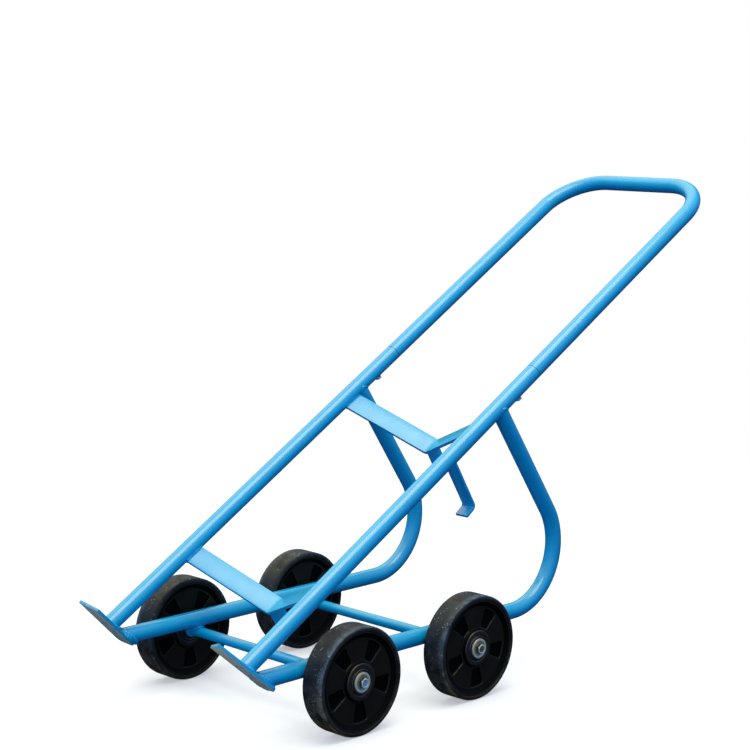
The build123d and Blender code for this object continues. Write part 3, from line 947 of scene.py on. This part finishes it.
# Sloping faces of the moulding take the painted shade.
for face in moulding.faces:
    on_hub = abs(face.calc_center_median().y) > rim_half
    face.material_index = wheel_finishes.index(hub_nylon if on_hub else facing_finish(face))
for face_side in (1, -1):
    pockets = [face for face in moulding.faces if in_pocket(face, face_side)]
    inside = set(pockets)
    outline = [vert for vert in verts_of(pockets) if not inside.issuperset(vert.link_faces)]
    round_pocket(outline, pocket_outer, 1)
    round_pocket(outline, pocket_inner, -1)
    walls = bmesh.ops.inset_region(moulding, faces=pockets, thickness=pocket_draft, depth=0,
                                   use_even_offset=True)
    bmesh.ops.translate(moulding, vec=across * (-face_side * pocket_depth), verts=list(verts_of(pockets)))
    # The pockets and their walls are painted darker, as shade.
    for face in pockets + walls["faces"]:
        face.material_index = wheel_finishes.index(shade_painted_nylon)
# The rounded foot of the hub and edge of the web take the painted shade where they slope.
for radius, width in ((hub_foot, foot_round), (web_radius, slope_round)):
    for face in soften(moulding, circle_edges(moulding, radius, web_half), width, foot_steps):
        face.material_index = wheel_finishes.index(facing_finish(face))
# The hub's rounded edge is painted lighter and shinier, as a highlight.
for face in soften(moulding, circle_edges(moulding, hub_radius, hub_half), hub_round, hub_steps):
    face.material_index = wheel_finishes.index(highlight_painted_nylon)
# Rounded edges on the raised faces are painted as highlights, the others as shade.
for face in soften(moulding, sharp_edges(moulding), mould_edge):
    middle = face.calc_center_median()
    raised = abs(middle.y) > web_half - 2 * mould_edge and from_axle(middle) < web_radius
    face.material_index = wheel_finishes.index(highlight_painted_nylon if raised else shade_painted_nylon)
fit_to_wheels(moulding, "centre_moulding", "wheel_centre", wheel_finishes, mould_sharp)

# Bearings. Two sealed ball bearings in each hub: outer rings pressed in the nylon, inner rings and
# a spacer tube clamped on the axle, balls in steel cages, and black rubber seals on both faces.
bearing_radius = 0.0235
race_radius = 0.0197
seal_bore = 0.01385
seal_inset = 0.0005
seal_thickness = 0.001
seal_lip = 0.0012
seal_skirt = 0.0006
ring_edge = 0.0006

# Ground bearing steel, dark with grease: a soft dark shine, and rubbed bright on its edges.
bearing_steel = make_metal("greased_bearing_steel", "#2C2B2A", "#1C1B1A", smooth=0.30, rough=0.45,
                           patch=0.008)
rubbed_steel = make_metal("rubbed_bearing_edge", "#B5B2AC", "#8E8B86", smooth=0.30, rough=0.45,
                          patch=0.008)
# Nitrile rubber: black and dull, with a thin film of dust.
seal_rubber = make_rubber("black_nitrile_seal", dust=0.15, stones=0.0, sheen_and_soil=0.0, tint="#FFC890")

ring_finishes = [bearing_steel, rubbed_steel]
rings = bmesh.new()
seals = bmesh.new()
for end in (1, -1):
    low, high = sorted((end * spacer_half, end * hub_half))
    turned_ring(rings, race_radius, bearing_radius, low, high, Vector())
    for ring_face, inward in ((end * hub_half, -end), (end * spacer_half, end)):
        front = ring_face + inward * seal_inset
        back = front + inward * seal_thickness
        skirt = front + inward * seal_skirt
        outline = [(seal_bore, back), (race_radius - fit_gap, back), (race_radius - fit_gap, skirt),
                   (race_radius - seal_lip, front), (seal_bore + seal_lip, front), (seal_bore, skirt)]
        turned(seals, outline, Vector())
bmesh.ops.recalc_face_normals(rings, faces=rings.faces)
for face in soften(rings, sharp_edges(rings), ring_edge):
    face.material_index = ring_finishes.index(rubbed_steel)
fit_to_wheels(rings, "bearing_rings", "outer_rings", ring_finishes)
fit_to_wheels(seals, "seal_rings", "bearing_seals", [seal_rubber], small_sharp)
finish_node("bearing_inner_rings", bearing_steel)
finish_node("bearing_spacers", bearing_steel)
for wheel_name in wheel_names:
    finish_node(f"{wheel_name}_bearing_balls", bearing_steel)
    finish_node(f"{wheel_name}_bearing_cages", bearing_steel)

# Washers and bolts. Thick zinc-plated washers and M10 hexagon bolts close the wheels on the
# axles. One front bolt caught some of the blue paint, and the other heads have gone brown.
washer_bore = 0.0054
washer_radius = 0.0185
washer_thickness = 0.003
washer_edge = 0.0006
washer_rim = 0.0150
washer_dip = 0.0003
washer_seat = washer_thickness - washer_dip
bolt_flats = 0.017
bolt_height = 0.0064
bolt_thread = 0.010
bolt_length = 0.030
flank_facing = 0.2
mist_size = 0.006

# Stained zinc: grey and blotched with old grease round the bolt, dull beside the bright rim.
stained_zinc = make_metal("stained_zinc", "#CFC8B4", "#57544A", smooth=0.40, rough=0.60, patch=0.0035,
                          metallic=0.6)
# Worn bolt head: zinc rubbed through to a brown grey, rough and dull.
worn_zinc = make_metal("worn_brown_zinc", "#A0917E", "#6A5D50", smooth=0.45, rough=0.65, patch=0.004)
# Flanks of the bolt heads: zinc painted dark as shade, with a little shine where a spanner has gripped them.
zinc_with_painted_shade = make_metal("zinc_with_painted_shade", "#77746C", "#3C3A36", smooth=0.38, rough=0.55, patch=0.004)
# Overspray: the frame's blue, thin over metal, so grey shows between its patches.
overspray, tree, shader, place = start_material("blue_overspray_on_zinc")
mist = add_node(tree, "TexNoise", {"Vector": place, "Scale": 1 / mist_size, "Detail": 4.0})
cover = add_node(tree, "MapRange", [mist, 0.36, 0.50, 0.0, 1.0])
tone = add_node(tree, "Mix", [cover, "#A8A496", "#45A6D2"], data_type="RGBA")
bare = add_node(tree, "MapRange", [cover, 0.0, 1.0, 0.9, 0.0])
fill_inputs(tree, shader, {"Base Color": tone, "Metallic": bare, "Roughness": 0.38})

washer_finishes = [zinc_plate, stained_zinc]
bolt_finishes = [zinc_plate, worn_zinc, overspray, zinc_with_painted_shade]
washers = bmesh.new()
bolts = bmesh.new()
for wheel_name in wheel_names:
    centre = middle_of(f"{wheel_name}_tyre")
    outward = across * math.copysign(1, centre.y)
    hub_face = centre + outward * hub_half
    outline = [(washer_bore, 0), (washer_radius, 0), (washer_radius, washer_thickness),
               (washer_rim, washer_thickness), (washer_rim - 2 * washer_dip, washer_seat),
               (washer_bore, washer_seat)]
    turned(washers, [(radius, offset * outward.y) for radius, offset in outline], hub_face)
    hexagon_bolt(bolts, hub_face + outward * washer_seat, outward, bolt_flats, bolt_height + washer_dip,
                 bolt_thread, bolt_length)
bmesh.ops.recalc_face_normals(washers, faces=washers.faces)
stained_y = wheel_y + hub_half + washer_seat
for face in washers.faces:
    if abs(abs(face.calc_center_median().y) - stained_y) < fit_gap:
        face.material_index = washer_finishes.index(stained_zinc)
soften(washers, sharp_edges(washers), washer_edge)
set_on_truck(washers, "wheel_washer_rings", ["wheel_washers"], washer_finishes)
sprayed = middle_of("front_left_tyre")
for face in bolts.faces:
    near_sprayed = (face.calc_center_median() - sprayed).length < tyre_radius
    # The flanks of the bolt heads are painted dark, as shade.
    if abs(face.normal.y) < flank_facing:
        face.material_index = bolt_finishes.index(zinc_with_painted_shade)
    elif abs(face.normal.y) > outward_facing:
        face.material_index = bolt_finishes.index(overspray if near_sprayed else worn_zinc)
set_on_truck(bolts, "wheel_hexagon_bolts", ["wheel_bolts"], bolt_finishes, sharp=small_sharp)

# Studio. A matt pale floor under a white surround, a large warm softbox overhead and a low card in
# front of the wheels. The surround lights the truck softly from all round: warm from above and from
# a panel on the far side, blue from the sides, and dim and paler from the ground.
bpy.context.scene.view_settings.view_transform = "Standard"
floor_size = 2.6
floor_fade = 0.9
floor = bmesh.new()
bmesh.ops.create_grid(floor, x_segments=1, y_segments=1, size=floor_size)
floor_mesh = bpy.data.meshes.new("studio_floor")
floor.to_mesh(floor_mesh)
floor.free()
# Matt pale floor: no gloss, with a glow of its own that keeps its shadows pale, and it thins out
# to nothing far from the truck.
floor_finish, tree, shader, place = start_material("matt_pale_studio_floor")
far = add_node(tree, "VectorMath", [place], operation="LENGTH")
fade = add_node(tree, "MapRange", [far, floor_fade, floor_size, 1.0, 0.0])
fill_inputs(tree, shader, {"Base Color": "#BEC4D4", "Emission Color": "#FFFFFF", "Emission Strength": 0.42,
                           "Roughness": 1.0, "Specular IOR Level": 0.0, "Alpha": fade})
floor_mesh.materials.append(floor_finish)
floor_piece = bpy.data.objects.new("studio_floor", floor_mesh)
floor_piece.visible_diffuse = False
floor_piece.visible_glossy = False
bpy.context.scene.collection.objects.link(floor_piece)

bright_side = (-0.18, -0.18, 0.967)
far_side = (0.12, 0.60, 0.79)
world = bpy.data.worlds.new("studio_light")
world.use_nodes = True
tree = world.node_tree
toward = add_node(tree, "TexCoord", {}).outputs["Generated"]
height = add_node(tree, "VectorMath", [toward, bright_side], operation="DOT_PRODUCT")
glow = add_node(tree, "MapRange", [height, -0.32, 0.46, 0.04, 1.16])
seen = add_node(tree, "LightPath", {}).outputs["Is Camera Ray"]
beyond = add_node(tree, "VectorMath", [toward, far_side], operation="DOT_PRODUCT")
panel = add_node(tree, "MapRange", [beyond, 0.64, 0.92, 0.0, 1.1])
light = add_node(tree, "Math", [glow, panel], operation="ADD")
strength = add_node(tree, "Mix", [seen, light, 1.0])
rise = add_node(tree, "MapRange", [height, 0.25, 1.0, 0.0, 1.0])
warm = add_node(tree, "Math", [rise, panel], operation="ADD", use_clamp=True)
sky = add_node(tree, "Mix", [warm, "#70B0FF", "#E9E1C0"], data_type="RGBA")
ground = add_node(tree, "MapRange", [height, 0.0, -0.4, 0.0, 1.0])
around = add_node(tree, "Mix", [ground, sky, "#BCDCFF"], data_type="RGBA")
colour = add_node(tree, "Mix", [seen, around, "#FFFFFF"], data_type="RGBA")
fill_inputs(tree, tree.nodes["Background"], {"Color": colour, "Strength": strength})
bpy.context.scene.world = world


def hang_light(name, width, depth, power, colour, place, target):
    """Hang a soft rectangular light at a place, aimed at a target."""
    data = bpy.data.lights.new(name, "AREA")
    data.shape = "RECTANGLE"
    data.size = width
    data.size_y = depth
    data.energy = power
    data.color = linear(colour)[:3]
    lamp = bpy.data.objects.new(name, data)
    lamp.matrix_world = pointed(place, target - place, "-Z")
    bpy.context.scene.collection.objects.link(lamp)
    return lamp


softbox_place = Vector((-0.5, -0.7, 3.3))
hang_light("overhead_softbox", width=2.8, depth=2.2, power=80, colour="#FFF8D6",
           place=softbox_place, target=softbox_place - upward)
card = hang_light("low_front_card", width=0.9, depth=0.3, power=2.2, colour="#F8F6E8",
                  place=Vector((-1.30, -0.30, 0.06)), target=Vector((-0.55, -0.10, 0.10)))
card.visible_camera = False
card.visible_glossy = False

# Camera. A long lens on a sensor 36 mm wide, from where the photograph was taken: in front of the
# toe plates, to the truck's left and a little above it.
lens_data = bpy.data.cameras.new("photo_camera")
lens_data.sensor_width = 36
lens_data.lens = 94.086
camera = bpy.data.objects.new("photo_camera", lens_data)
camera_place = middle_of("front_axle") + Vector((-2.3352, -2.6720, 1.0470))
camera_look = Vector((0.693196, 0.705725, -0.146444))
camera_roll = math.radians(0.117)
camera.matrix_world = pointed(camera_place, camera_look, "-Z") @ Matrix.Rotation(camera_roll, 4, "Z")
bpy.context.scene.collection.objects.link(camera)
bpy.context.scene.camera = camera
